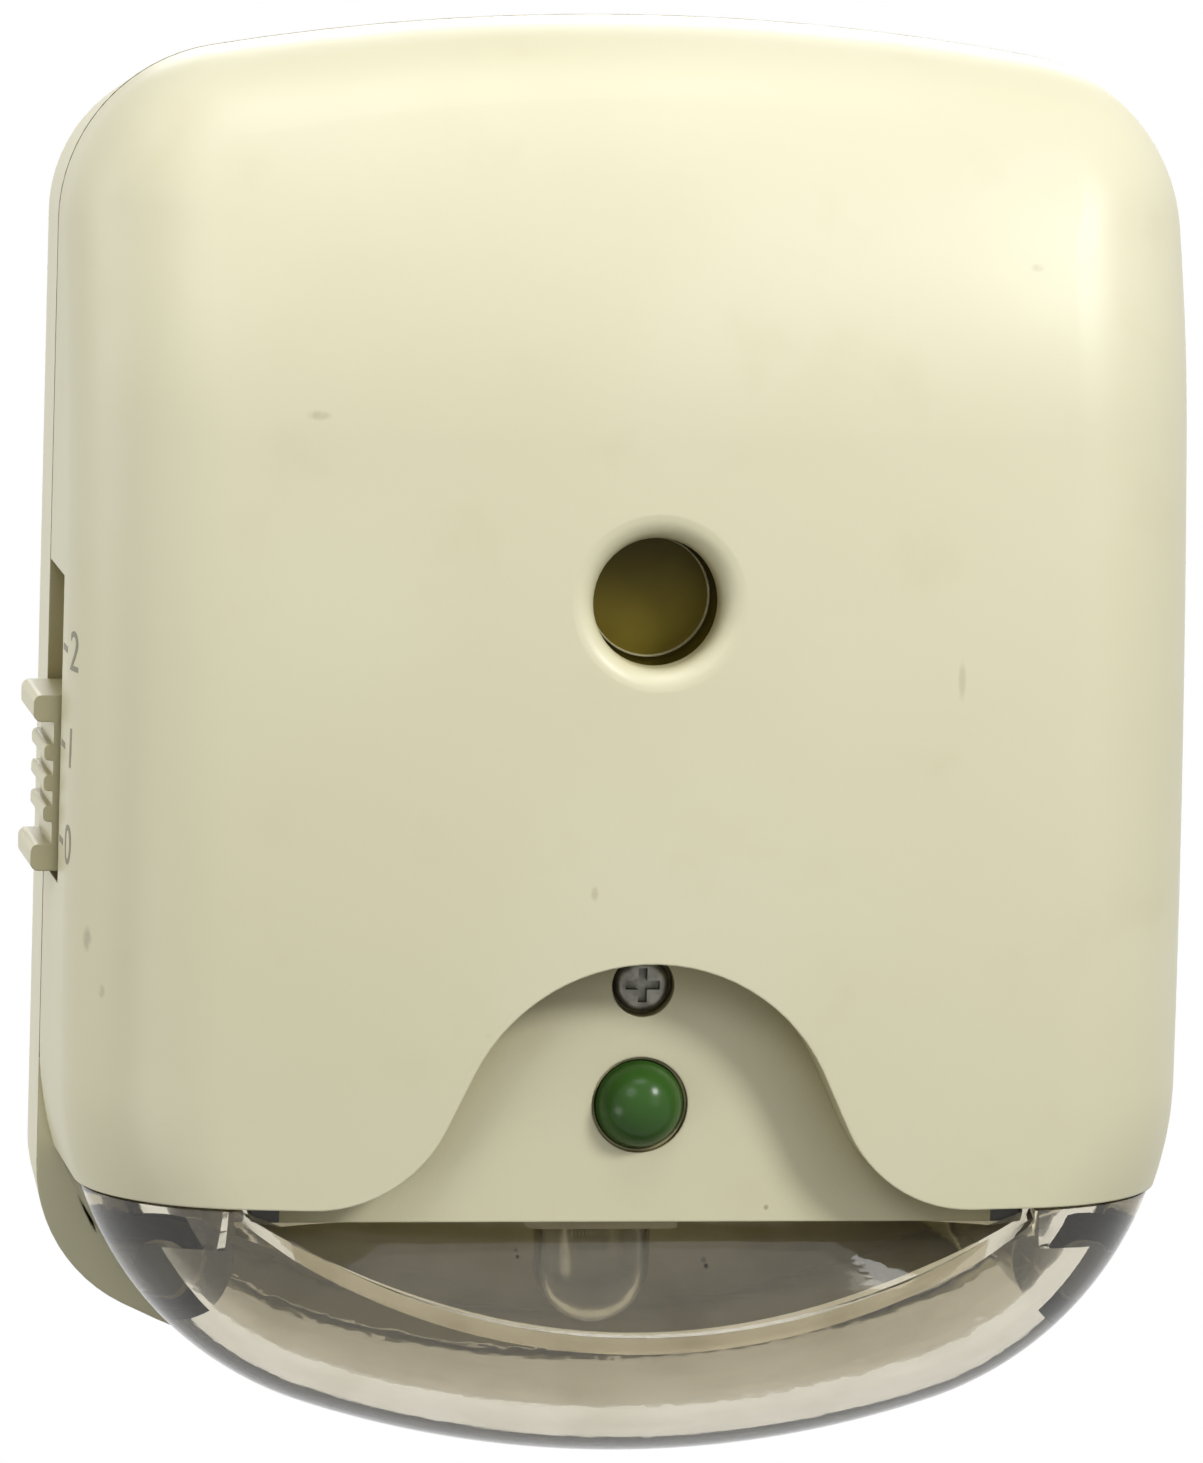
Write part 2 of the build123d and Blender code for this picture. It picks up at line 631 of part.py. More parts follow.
def make_switch_knob():
    knob_back = parting_y - RUN
    knob_front = parting_y - SLOT_WIDTH + RUN
    low = knob_z - KNOB_LENGTH / 2
    high = knob_z + KNOB_LENGTH / 2
    floor = -half_width - KNOB_FLOOR
    knob = block(floor, shield_out, knob_back, knob_front, low, high)
    lip_x = -half_width - KNOB_LIP
    for foot in (low, high - KNOB_LIP_WIDTH):
        lip = block(lip_x, shield_out, knob_back, knob_front, foot, foot + KNOB_LIP_WIDTH)
        knob += fillet(lip.edges().filter_by(Axis.Y).sort_by(Axis.X)[0:2], KNOB_LIP_WIDTH * 0.3)
    pitch = (KNOB_LENGTH - 2 * KNOB_LIP_WIDTH) / (KNOB_RIDGES + 1)
    for count in range(KNOB_RIDGES):
        middle = low + KNOB_LIP_WIDTH + pitch * (count + 1)
        ridge = block(floor - KNOB_RIDGE, shield_out, knob_back, knob_front,
                      middle - KNOB_RIDGE_WIDTH / 2, middle + KNOB_RIDGE_WIDTH / 2)
        knob += fillet(ridge.edges().filter_by(Axis.Y).sort_by(Axis.X)[0:2], KNOB_RIDGE_WIDTH * 0.3)
    knob += block(shield_out, shield_in, knob_back, parting_y - SHIELD_WIDTH, shield_low, shield_high)
    gap = LEVER_SIZE / 2 + LEVER_FIT
    root = parting_y - SHIELD_WIDTH + FORK_ROOT
    fork_end = -board_half - FORK_GAP
    fork = block(shield_in, fork_end, lever_y - LEVER_SIZE / 2, root,
                 knob_z - gap - FORK_WALL, knob_z + gap + FORK_WALL)
    # Outer front edge cut back, clear of the cover's inner rounding
    outer = fork.edges().filter_by(Axis.Z).sort_by(Axis.X)[0:2]
    knob += chamfer(outer.sort_by(Axis.Y)[0], FORK_EASE)
    return knob - block(shield_in + LEVER_FIT, fork_end + CUT,
                        lever_y - LEVER_SIZE, lever_y + LEVER_SIZE / 2 + LEVER_FIT,
                        knob_z - gap, knob_z + gap)


def make_switch_slider():
    lever = block(shield_in + 2 * LEVER_FIT, -board_half + SWITCH_SKIN + RUN, lever_y - LEVER_SIZE / 2,
                  lever_y + LEVER_SIZE / 2, slider_z - LEVER_SIZE / 2, slider_z + LEVER_SIZE / 2)
    body = block(-board_half + SWITCH_SKIN + RUN, switch_right - SWITCH_SKIN - RUN,
                 board_front - SWITCH_BASE_THICK - FIT, board_front - SWITCH_HEIGHT + SWITCH_SKIN + FIT,
                 slider_z - SLIDER_LENGTH / 2, slider_z + SLIDER_LENGTH / 2)
    return lever + body


def make_switch_frame():
    middle = slider_z + SWITCH_TRAVEL / 2
    low = middle - SWITCH_LENGTH / 2
    high = middle + SWITCH_LENGTH / 2
    can = block(-board_half, switch_right, board_front, board_front - SWITCH_HEIGHT, low, high)
    can = fillet(can.edges().filter_by(Axis.Z).group_by(Axis.Y)[0], SWITCH_SKIN * 0.8)
    can -= block(-board_half + SWITCH_SKIN, switch_right - SWITCH_SKIN, board_front + CUT,
                 board_front - SWITCH_HEIGHT + SWITCH_SKIN, low + SWITCH_SKIN, high - SWITCH_SKIN)
    reach = (SWITCH_TRAVEL + LEVER_SIZE) / 2 + RUN
    return can - block(-board_half - CUT, -board_half + SWITCH_SKIN + 0.1, lever_y - LEVER_SIZE / 2 - RUN,
                       lever_y + LEVER_SIZE / 2 + RUN, middle - reach, middle + reach)


def make_switch_base():
    middle = slider_z + SWITCH_TRAVEL / 2
    half = SWITCH_LENGTH / 2 - SWITCH_SKIN - FIT / 2
    return block(-board_half + SWITCH_SKIN + FIT / 2, switch_right - SWITCH_SKIN - FIT / 2, board_front,
                 board_front - SWITCH_BASE_THICK, middle - half, middle + half)


def switch_pins(oversize, y_front, y_back):
    middle = slider_z + SWITCH_TRAVEL / 2
    x = (switch_right - board_half) / 2
    return [rod_y(x, middle + step * TERMINAL_PIN_PITCH, y_back, y_front, TERMINAL_PIN_DIA + oversize)
            for step in (-1, 0, 1)]


switch_knob = make_switch_knob()
switch_slider = make_switch_slider()
switch_frame = make_switch_frame()
switch_base = make_switch_base()
switch_terminals = Compound(children=switch_pins(0, board_front, board_front + TERMINAL_PIN_LENGTH))


# Lamp under the battery bay, pointing down into the lens

lamp_y = (board_back + board_front) / 2
lamp_tip = body_bottom + LAMP_TIP_UP
holder_low = bay_under - HOLDER_HEIGHT
lamp_top = bay_under - HOLDER_ROOF - FIT
wire_y = lamp_y + LAMP_WIRE_BACK
wire_x = (LAMP_X - LAMP_WIRE_PITCH / 2, LAMP_X + LAMP_WIRE_PITCH / 2)
pad_z = board_bottom + LAMP_PAD_UP
filament_z = lamp_top - FILAMENT_DROP


def lamp_form(dia, z_top, z_tip):
    form = rod_z(LAMP_X, lamp_y, z_top, z_tip + dia / 2, dia)
    return form + Pos(LAMP_X, lamp_y, z_tip + dia / 2) * Sphere(dia / 2)


def make_lamp_bulb():
    glass = lamp_form(LAMP_DIA, lamp_top, lamp_tip)
    glass -= lamp_form(LAMP_DIA - 2 * LAMP_GLASS, lamp_top - LAMP_BASE, lamp_tip + LAMP_GLASS)
    for x in wire_x:
        glass -= rod_z(x, wire_y, lamp_top + CUT, lamp_top - LAMP_BASE - CUT, LAMP_WIRE_DIA + LAMP_WIRE_FIT)
    return glass


def make_lamp_wires():
    wires = []
    for x in wire_x:
        path = FilletPolyline((x, wire_y, filament_z), (x, wire_y, pad_z), (x, board_back, pad_z),
                              radius=LAMP_WIRE_BEND)
        start = Plane((x, wire_y, filament_z), z_dir=(0, 0, 1))
        wires.append(sweep(start * Circle(LAMP_WIRE_DIA / 2), path))
    return Compound(children=wires)


def make_lamp_filament():
    coil = rod_x(wire_x[0], wire_x[1], wire_y, filament_z - FILAMENT_DIA / 2, FILAMENT_DIA)
    return coil


def make_lamp_holder():
    half = LAMP_DIA / 2 + FIT + HOLDER_WALL
    holder = block(LAMP_X - half, LAMP_X + half, bay_front + HOLDER_BACK, lamp_y - half,
                   holder_low, bay_under)
    holder = fillet(holder.edges().filter_by(Axis.Z), HOLDER_WALL)
    holder -= rod_z(LAMP_X, lamp_y, holder_low - CUT, bay_under - HOLDER_ROOF, LAMP_DIA + 2 * FIT)
    for x in wire_x:
        holder -= rod_z(x, wire_y, holder_low, bay_under + CUT, LAMP_WIRE_DIA + 2 * FIT)
    return holder


lamp_bulb = make_lamp_bulb()
lamp_wires = make_lamp_wires()
lamp_filament = make_lamp_filament()
lamp_holder = make_lamp_holder()


# Green indicator in the panel

led_base = board_front - LED_BASE_GAP
led_tip = panel_front - LED_PROUD
led_lead_x = (-LED_LEAD_PITCH / 2, LED_LEAD_PITCH / 2)


def make_indicator_led():
    led = rod_y(0, led_z, led_base, led_tip + LED_DIA / 2, LED_DIA)
    led += Pos(0, led_tip + LED_DIA / 2, led_z) * Sphere(LED_DIA / 2)
    return led + rod_y(0, led_z, led_base, led_base - LED_FLANGE, LED_FLANGE_DIA)


indicator_led = make_indicator_led()
led_leads = Compound(children=[
    block(x - LED_LEAD_SIZE / 2, x + LED_LEAD_SIZE / 2, led_base, board_front,
          led_z - LED_LEAD_SIZE / 2, led_z + LED_LEAD_SIZE / 2) for x in led_lead_x])


# Sounder: brass disc on the cover's ring, ceramic behind it, and two leads to the board

disc_back = disc_seat + DISC_THICK
ceramic_back = disc_back + CERAMIC_THICK
piezo_disc = rod_y(0, sound_z, disc_seat, disc_back, DISC_DIA)
piezo_ceramic = rod_y(0, sound_z, disc_back, ceramic_back, CERAMIC_DIA)
piezo_leads = Compound(children=[
    rod_y(0, sound_z, ceramic_back, board_front, SOUND_LEAD_DIA),
    rod_y(SOUND_LEAD_X, sound_z, disc_back, board_front, SOUND_LEAD_DIA)])


# Plug blades, the plate that holds them, and their leads

def make_blade(side):
    x = side * BLADE_PITCH / 2
    height = blade_height(side)
    half = BLADE_THICK / 2
    blade = block(x - half, x + half, -REAR_WALL, BLADE_LENGTH, -height / 2, height / 2)
    blade = chamfer(blade.edges().filter_by(Axis.Z).group_by(Axis.Y)[-1], BLADE_NOSE)
    blade += block(x - half, x + half, -REAR_WALL, -REAR_WALL - SHOULDER_THICK,
                   -height / 2 - SHOULDER_EXTRA, height / 2 + SHOULDER_EXTRA)
    blade += block(x - half, x + half, -REAR_WALL, retainer_front - TAIL_REACH,
                   -TAIL_HEIGHT / 2, TAIL_HEIGHT / 2)
    return blade - rod_x(x - 2 * half, x + 2 * half, BLADE_HOLE_AT, 0, BLADE_HOLE_DIA)


def make_blade_retainer():
    plate = block(-RETAINER_HALF, RETAINER_HALF, retainer_back, retainer_front,
                  -RETAINER_HEIGHT / 2, RETAINER_HEIGHT / 2)
    plate = fillet(plate.edges().filter_by(Axis.Y), RETAINER_CORNER)
    for side in (-1, 1):
        x = side * BLADE_PITCH / 2
        plate -= block(x - BLADE_THICK / 2 - FIT, x + BLADE_THICK / 2 + FIT, 0, retainer_front - CUT,
                       -TAIL_HEIGHT / 2 - FIT, TAIL_HEIGHT / 2 + FIT)
        plate -= rod_y(side * RETAINER_POST_X, 0, 0, retainer_front - CUT, SCREW_SHANK + 2 * FIT)
    return plate


neutral_blade = make_blade(-1)
line_blade = make_blade(1)
blade_retainer = make_blade_retainer()
retainer_screws = Compound(children=[
    pan_screw(side * RETAINER_POST_X, 0, retainer_front, BOARD_HEAD_DIA, BOARD_HEAD,
              -retainer_front - REAR_SKIN - FIT) for side in (-1, 1)])
mains_leads = Compound(children=[
    rod_y(side * BLADE_PITCH / 2, 0, retainer_front - TAIL_REACH, board_back, MAINS_LEAD_DIA)
    for side in (-1, 1)])


# Battery, snap connector and door

terminal_z = (battery_z + TERMINAL_PITCH / 2, battery_z - TERMINAL_PITCH / 2)
terminal_dia = (POSITIVE_DIA, NEGATIVE_DIA)


def make_battery():
    can = block(battery_left, battery_right, battery_back, battery_front,
                battery_z - BATTERY_WIDTH / 2, battery_z + BATTERY_WIDTH / 2)
    return fillet(can.edges().filter_by(Axis.X), BATTERY_CORNER)


def make_battery_door():
    door = block(-bay_half + DOOR_EDGE, bay_half - DOOR_EDGE, door_back, door_front,
                 hinge_z - HINGE_TAIL, bay_top - DOOR_EDGE)
    for side in (-1, 1):
        root = bay_half - CUT * DOOR_EDGE
        door += rod_x(side * root, side * pin_reach, hinge_y, hinge_z, HINGE_PIN_DIA)
    dent = rod_x(-FINGER_DENT_WIDTH / 2, FINGER_DENT_WIDTH / 2,
                 door_back + FINGER_DENT_RADIUS - FINGER_DENT_DEPTH, bay_top - FINGER_DENT_RADIUS,
                 2 * FINGER_DENT_RADIUS)
    return door - dent


def make_battery_snap():
    plate = block(snap_back, snap_back + SNAP_PLATE, battery_y - SNAP_WIDTH / 2, battery_y + SNAP_WIDTH / 2,
                  battery_z - SNAP_LENGTH / 2, battery_z + SNAP_LENGTH / 2)
    return fillet(plate.edges().filter_by(Axis.X), BATTERY_CORNER)


battery = make_battery()
battery_terminals = Compound(children=[
    rod_x(battery_right, snap_back, battery_y, z, dia) for z, dia in zip(terminal_z, terminal_dia)])
battery_snap = make_battery_snap()
battery_door = make_battery_door()
battery_leads = Compound(children=[
    rod_y(snap_x, z, battery_y - SNAP_WIDTH / 2, board_back, BATTERY_LEAD_DIA) for z in snap_leads])


# Circuit board and the parts on it

def make_circuit_board():
    board = block(-board_half, board_half, board_back, board_front, board_bottom, BOARD_TOP)
    board = fillet(board.edges().filter_by(Axis.Y), BOARD_CORNER)
    for side in (-1, 1):
        board -= rod_y(side * post_x, POST_TOP, 0, board_front - CUT, SCREW_SHANK + 2 * FIT)
        board -= rod_y(side * post_x, post_low_z, 0, board_front - CUT, SCREW_SHANK + 2 * FIT)
    board -= rod_y(0, screw_z, 0, board_front - CUT, FRONT_POST_DIA + 2 * RUN)
    for pin in switch_pins(2 * FIT, board_front - CUT, board_back + CUT):
        board -= pin
    return board


def standing_box(size, x, z):
    wide, tall, high = size
    return block(x - wide / 2, x + wide / 2, board_front, board_front - tall, z - high / 2, z + high / 2)


def axial_part(x, z, dia, length):
    # Barrel lying along X, lifted off the board on two bent legs
    y = board_front - AXIAL_LIFT - dia / 2
    half = length / 2
    end = half + AXIAL_SPAN / 2
    part = rod_x(x - half, x + half, y, z, dia)
    for side in (-1, 1):
        foot = x + side * end
        path = FilletPolyline((x + side * half, y, z), (foot, y, z), (foot, board_front, z),
                              radius=AXIAL_BEND)
        start = Plane((x + side * half, y, z), z_dir=(side, 0, 0))
        part += sweep(start * Circle(AXIAL_LEAD_DIA / 2), path)
    return part


def make_control_chip():
    x = 0
    z = CHIP_Z
    wide, tall, high = CHIP
    chip = block(x - wide / 2, x + wide / 2, board_front - CHIP_STAND, board_front - CHIP_STAND - tall,
                 z - high / 2, z + high / 2)
    for count in range(CHIP_LEGS):
        leg_x = x + (count - (CHIP_LEGS - 1) / 2) * CHIP_LEG_PITCH
        for side in (-1, 1):
            leg_z = z + side * (high / 2 + CHIP_LEG_WIDTH / 2)
            chip += block(leg_x - CHIP_LEG_WIDTH, leg_x + CHIP_LEG_WIDTH,
                          board_front, board_front - CHIP_STAND - tall / 2,
                          leg_z - CHIP_LEG_WIDTH / 2, leg_z + CHIP_LEG_WIDTH / 2)
    return chip


def make_transistor():
    x = switch_right + TRANSISTOR_GAP + TRANSISTOR_DIA / 2
    z = TRANSISTOR_Z
    foot = board_front - TRANSISTOR_LEG
    can = rod_y(x, z, foot, foot - TRANSISTOR_HEIGHT, TRANSISTOR_DIA)
    can -= block(x - TRANSISTOR_DIA, x + TRANSISTOR_DIA, foot + CUT, foot - TRANSISTOR_HEIGHT - CUT,
                 z + TRANSISTOR_FLAT, z + TRANSISTOR_DIA)
    for step in (-1, 0, 1):
        can += rod_y(x + step * CHIP_LEG_PITCH / 2, z, board_front, foot - 0.5, AXIAL_LEAD_DIA)
    return can


circuit_board = make_circuit_board()
film_capacitor = standing_box(FILM_CAP, FILM_CAP_X, FILM_CAP_Z)
film_capacitor = fillet(film_capacitor.edges().filter_by(Axis.Y), FILM_CAP_CORNER)
diode_x = board_half - DIODE_IN
resistor_x = board_half - RESISTOR_IN
electrolytic_front = board_front - ELECTROLYTIC_HEIGHT
electrolytic_capacitor = rod_y(diode_x - ELECTROLYTIC_IN, ELECTROLYTIC_Z, board_front, electrolytic_front,
                               ELECTROLYTIC_DIA)
resistors = Compound(children=[
    axial_part(resistor_x, RESISTOR_TOP - count * RESISTOR_PITCH, RESISTOR_DIA, RESISTOR_LENGTH)
    for count in range(RESISTOR_COUNT)])
diodes = Compound(children=[
    axial_part(diode_x, DIODE_TOP - count * DIODE_PITCH, DIODE_DIA, DIODE_LENGTH)
    for count in range(DIODE_COUNT)])
control_chip = make_control_chip()
transistor = make_transistor()

front_screw = pan_screw(0, screw_z, panel_front + FRONT_HEAD + FRONT_SINK, FRONT_HEAD_DIA, FRONT_HEAD,
                        panel_back - panel_front - FRONT_HEAD - FRONT_SINK + SCREW_BITE)
board_screws = Compound(children=[
    pan_screw(side * post_x, z, board_front, BOARD_HEAD_DIA, BOARD_HEAD, BOARD_THICK + BOARD_STANDOFF)
    for side in (-1, 1) for z in (POST_TOP, post_low_z)])

nodes = {
    "front_cover": front_cover,
    "rear_cover": rear_cover,
    "lens": lens,
    "switch_knob": switch_knob,
    "switch_slider": switch_slider,
    "switch_frame": switch_frame,
    "switch_base": switch_base,
    "switch_terminals": switch_terminals,
    "lamp_bulb": lamp_bulb,
    "lamp_wires": lamp_wires,
    "lamp_filament": lamp_filament,
    "lamp_holder": lamp_holder,
    "indicator_led": indicator_led,
    "led_leads": led_leads,
    "piezo_disc": piezo_disc,
    "piezo_ceramic": piezo_ceramic,
    "piezo_leads": piezo_leads,
    "neutral_blade": neutral_blade,
    "line_blade": line_blade,
    "blade_retainer": blade_retainer,
    "retainer_screws": retainer_screws,
    "mains_leads": mains_leads,
    "battery": battery,
    "battery_terminals": battery_terminals,
    "battery_snap": battery_snap,
    "battery_leads": battery_leads,
    "battery_door": battery_door,
    "circuit_board": circuit_board,
    "film_capacitor": film_capacitor,
    "electrolytic_capacitor": electrolytic_capacitor,
    "resistors": resistors,
    "diodes": diodes,
    "control_chip": control_chip,
    "transistor": transistor,
    "front_screw": front_screw,
    "board_screws": board_screws,
}

os.makedirs("parts", exist_ok=True)
for name, shape in nodes.items():
    export_step(shape, f"parts/{name}.step")
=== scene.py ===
import json
import math
import bpy
from mathutils import Matrix, Vector


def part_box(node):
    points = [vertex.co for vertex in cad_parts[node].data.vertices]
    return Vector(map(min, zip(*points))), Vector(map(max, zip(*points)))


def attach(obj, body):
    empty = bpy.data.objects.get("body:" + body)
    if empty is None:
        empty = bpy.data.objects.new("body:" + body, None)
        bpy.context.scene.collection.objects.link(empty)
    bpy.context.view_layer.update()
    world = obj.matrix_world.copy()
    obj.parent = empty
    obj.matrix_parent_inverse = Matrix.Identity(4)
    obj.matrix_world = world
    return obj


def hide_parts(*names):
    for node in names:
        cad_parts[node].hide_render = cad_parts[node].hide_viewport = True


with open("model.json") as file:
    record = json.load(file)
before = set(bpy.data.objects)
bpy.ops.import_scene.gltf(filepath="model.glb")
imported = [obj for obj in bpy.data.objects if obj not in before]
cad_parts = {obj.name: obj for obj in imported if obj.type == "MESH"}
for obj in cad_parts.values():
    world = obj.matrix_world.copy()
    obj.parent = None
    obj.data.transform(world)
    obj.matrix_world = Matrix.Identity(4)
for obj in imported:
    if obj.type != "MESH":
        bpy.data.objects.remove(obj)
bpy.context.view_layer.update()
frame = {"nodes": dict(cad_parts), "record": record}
nodes = frame["nodes"]
mm = 0.001
smoothAngle = math.radians(40)      # flatter edges than this are shaded smooth
print("frame loaded:", len(nodes), "nodes")


# camera, where the photo was taken from
view = {
    "azimuth": 9.5, "elevation": 9.05, "roll": 1.73,    # degrees: from the left, from above, about the view
    "distance": 0.7, "farthest": 20,                    # m
    "pixelsPerMm": 17.8,
    "anchor": (0.0, -22.0, -18.0),                      # mm, a point inside the body
    "anchorPixel": (612.4, 720.1),                      # where the photo has it
    "picture": (1203, 1463),
    "sensor": 36.0,
}


def addCamera():
    azimuth, elevation, roll = (math.radians(view[key]) for key in ("azimuth", "elevation", "roll"))
    level = math.cos(elevation)
    ahead = Vector((math.sin(azimuth) * level, math.cos(azimuth) * level, -math.sin(elevation)))
    side = Vector((math.cos(azimuth), -math.sin(azimuth), 0))
    up = side.cross(ahead)
    right = side * math.cos(roll) + up * math.sin(roll)
    top = up * math.cos(roll) - side * math.sin(roll)
    turn = Matrix((right, top, -ahead)).transposed().to_4x4()
    wide, high = view["picture"]
    shiftRight = (view["anchorPixel"][0] - wide / 2) / view["pixelsPerMm"] * mm
    shiftDown = (view["anchorPixel"][1] - high / 2) / view["pixelsPerMm"] * mm
    aim = Vector(view["anchor"]) * mm - right * shiftRight + top * shiftDown
    bpy.ops.object.camera_add()
    camera = bpy.context.object
    camera.matrix_world = Matrix.Translation(aim - ahead * view["distance"]) @ turn
    camera.data.sensor_fit = "HORIZONTAL"
    camera.data.sensor_width = view["sensor"]
    focalPixels = view["pixelsPerMm"] * view["distance"] / mm
    camera.data.lens = focalPixels * view["sensor"] / wide
    camera.data.clip_end = view["farthest"]
    bpy.context.scene.camera = camera


addCamera()
print("camera set")


# shader maths as plain expressions
class Wire:
    def __init__(self, finish, socket):
        self.finish = finish
        self.socket = socket

    def maths(self, operation, first, second):
        return self.finish.node("ShaderNodeMath", {"operation": operation}, {0: first, 1: second})

    def __add__(self, other):
        return self.maths("ADD", self, other)

    def __sub__(self, other):
        return self.maths("SUBTRACT", self, other)

    def __rsub__(self, other):
        return self.maths("SUBTRACT", other, self)

    def __mul__(self, other):
        return self.maths("MULTIPLY", self, other)

    def __gt__(self, other):
        return self.maths("GREATER_THAN", self, other)

    def __lt__(self, other):
        return self.maths("LESS_THAN", self, other)

    __radd__ = __add__
    __rmul__ = __mul__


def paint(red, green, blue):
    # screen colour, 0 to 255, as the shader wants it
    def linear(c):
        c = c / 255
        return c / 12.92 if c <= 0.04045 else ((c + 0.055) / 1.055) ** 2.4
    return (linear(red), linear(green), linear(blue), 1)


white = (1, 1, 1, 1)
spotDepth = -25         # mm, spots show only in front of this
spotFade = (1.0, 0.3)   # from the rim of a spot to its full strength


class Finish:
    def __init__(self, name, owner=None):
        self.material = owner or bpy.data.materials.new(name)
        self.material.use_nodes = True
        self.tree = self.material.node_tree
        self.tree.nodes.clear()
        self.place = self.node("ShaderNodeTexCoord", output="Object")

    def node(self, kind, settings=None, inputs=None, output=0):
        made = self.tree.nodes.new(kind)
        for key, value in (settings or {}).items():
            setattr(made, key, value)
        for key, value in (inputs or {}).items():
            if isinstance(value, Wire):
                self.tree.links.new(value.socket, made.inputs[key])
            else:
                made.inputs[key].default_value = value
        return Wire(self, made.outputs[output])

    def noise(self, scale, detail=2.0):
        values = {"Vector": self.place, "Scale": scale, "Detail": detail}
        return self.node("ShaderNodeTexNoise", {}, values)

    def axis(self, name):
        return self.node("ShaderNodeSeparateXYZ", {}, {0: self.place}, name)

    def between(self, value, start, end):
        # 0 at start, 1 at end, soft between
        values = {"Value": value, "From Min": start, "From Max": end}
        return self.node("ShaderNodeMapRange", {"interpolation_type": "SMOOTHSTEP"}, values)

    def larger(self, first, second):
        return self.node("ShaderNodeMath", {"operation": "MAXIMUM"}, {0: first, 1: second})

    def blend(self, share, first, second):
        values = {0: share, 6: first, 7: second}
        return self.node("ShaderNodeMix", {"data_type": "RGBA"}, values, 2)

    def bump(self, height, strength, distance, edge=0.0):
        values = {"Height": height, "Strength": strength, "Distance": distance}
        if edge:
            values["Normal"] = self.node("ShaderNodeBevel", {"samples": 4}, {"Radius": edge})
        return self.node("ShaderNodeBump", {}, values)

    def spot(self, x, z, wide, high):
        # soft oval on the front, mm
        sized = self.node("ShaderNodeVectorMath", {"operation": "MULTIPLY"},
                          {0: self.place, 1: (1 / (wide * mm), 0, 1 / (high * mm))})
        away = self.node("ShaderNodeVectorMath", {"operation": "DISTANCE"},
                         {0: sized, 1: (x / wide, 0, z / high)}, "Value")
        return self.between(away, *spotFade) * (self.axis("Y") < spotDepth * mm)

    def speckle(self, scale, size, share):
        # small round spots in a few cells of a grid of cells
        cell = {"Vector": self.place, "Scale": scale}
        near = self.node("ShaderNodeTexVoronoi", {}, cell, "Distance")
        pick = self.node("ShaderNodeTexVoronoi", {}, cell, "Color")
        pick = self.node("ShaderNodeSeparateColor", {}, {0: pick}, 0)
        return (near < size) * (pick < share)

    def surface(self, **inputs):
        values = {name.replace("_", " "): value for name, value in inputs.items()}
        shader = self.node("ShaderNodeBsdfPrincipled", {}, values)
        return self.close(shader)

    def close(self, shader, kind="ShaderNodeOutputMaterial"):
        end = self.tree.nodes.new(kind)
        self.tree.links.new(shader.socket, end.inputs["Surface"])
        return self.material

    def seenDirectly(self):
        # 1 for what the camera, a reflection or a look through the lens meets
        kinds = [self.node("ShaderNodeLightPath", output=f"Is {name} Ray")
                 for name in ("Camera", "Glossy", "Transmission")]
        return self.larger(self.larger(kinds[0], kinds[1]), kinds[2])


ivory = {
    "main": (222, 217, 184), "pale": (230, 225, 196), "deep": (213, 206, 170),
    # corner is the colour of the painted shade in recesses
    "speck": (120, 112, 86), "scuff": (166, 156, 124), "pegShade": (40, 38, 30), "corner": (140, 128, 76),
    "cloudScale": 45, "cloudRange": (0.35, 0.7), "cloudShare": 0.5,
    "blotchScale": 160, "blotchRange": (0.55, 0.8), "blotchShare": 0.3,
    "recessShadeReach": 0.009, "recessShadeRange": (0.9, 0.25), "recessShadeShare": 0.85,      # m, painted shade in recesses
    "ledgeFront": -18.4, "ledgeBack": -17.0, "ledgeTop": -38.0,                 # mm, kept free of that painted shade
    "speckScale": 420, "speckSize": 0.06, "speckCells": 0.008, "speckShare": 0.5,
    "pegOut": 20.0, "pegTop": -43.1, "pegBack": -18.2,                          # mm, pegs seen through the lens, painted near black as shade
    "rough": 0.36, "roughScale": 260, "roughRange": 0.1, "speckRough": 0.2, "index": 1.5,
    "grainScale": 1400, "grain": 0.12, "grainHeight": 0.00002, "edge": 0.00015,     # m
    "wornScale": 900, "wornRange": (0.25, 0.6),
    "scuffs": [
        # x, z, half width, half height, in mm, and strength
        (-18.8, 0.8, 0.9, 0.35, 0.4), (17.1, -13.4, 0.3, 1.4, 0.3), (-30.6, -28.8, 0.25, 0.9, 0.6),
        (-3.4, -25.1, 0.3, 0.5, 0.45), (-29.9, -31.5, 0.2, 0.5, 0.4), (7.3, -43.3, 0.2, 0.2, 1.0),
        (21.5, 9.0, 0.5, 0.3, 0.25), (-9.0, -33.0, 0.4, 0.2, 0.25),
    ],
}


